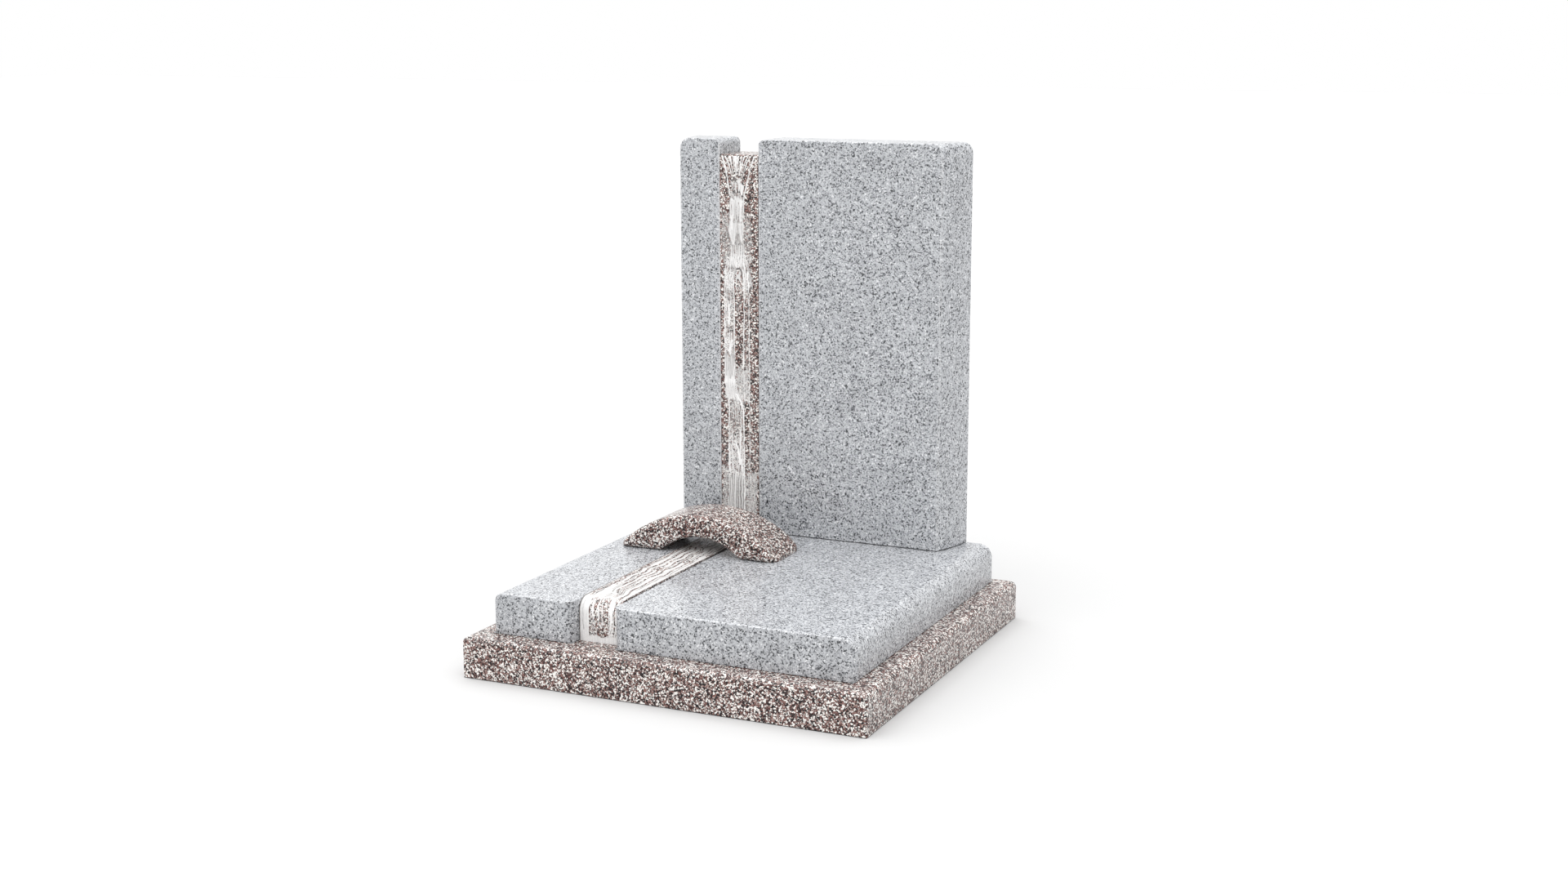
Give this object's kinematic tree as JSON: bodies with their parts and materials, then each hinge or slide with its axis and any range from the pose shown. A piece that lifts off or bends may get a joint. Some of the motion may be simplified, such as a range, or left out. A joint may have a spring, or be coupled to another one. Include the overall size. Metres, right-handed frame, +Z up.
{
  "type": "grave monument",
  "caption": "Upright granite stele with a carved waterfall strip, on a ledger with a carved river and a small arched bridge, all on a square base slab.",
  "frame": {"origin": "middle of the base slab's underside, on the ground", "axes": "+Z up, the stele's front faces -Y, +X to the viewer's right"},
  "size_m": [1, 0.99, 1.1886],
  "materials": {
    "base_slab": "polished pink-brown granite with white and black grains",
    "ledger_left": "polished light grey granite with dark flecks",
    "ledger_right": "polished light grey granite with dark flecks",
    "river_strip": "pink-brown granite, the carved water frosted white",
    "waterfall_strip": "pink-brown granite, the carved water frosted white",
    "stele_left": "polished light grey granite with dark flecks",
    "stele_right": "polished light grey granite with dark flecks",
    "bridge": "polished pink-brown granite with white and black grains"
  },
  "bodies": {
    "root": {"base_slab": "base_slab", "ledger_left": "ledger_left", "ledger_right": "ledger_right", "river_strip": "river_strip", "waterfall_strip": "waterfall_strip", "stele_left": "stele_left", "stele_right": "stele_right", "bridge": "bridge"}
  },
  "joints": []
}
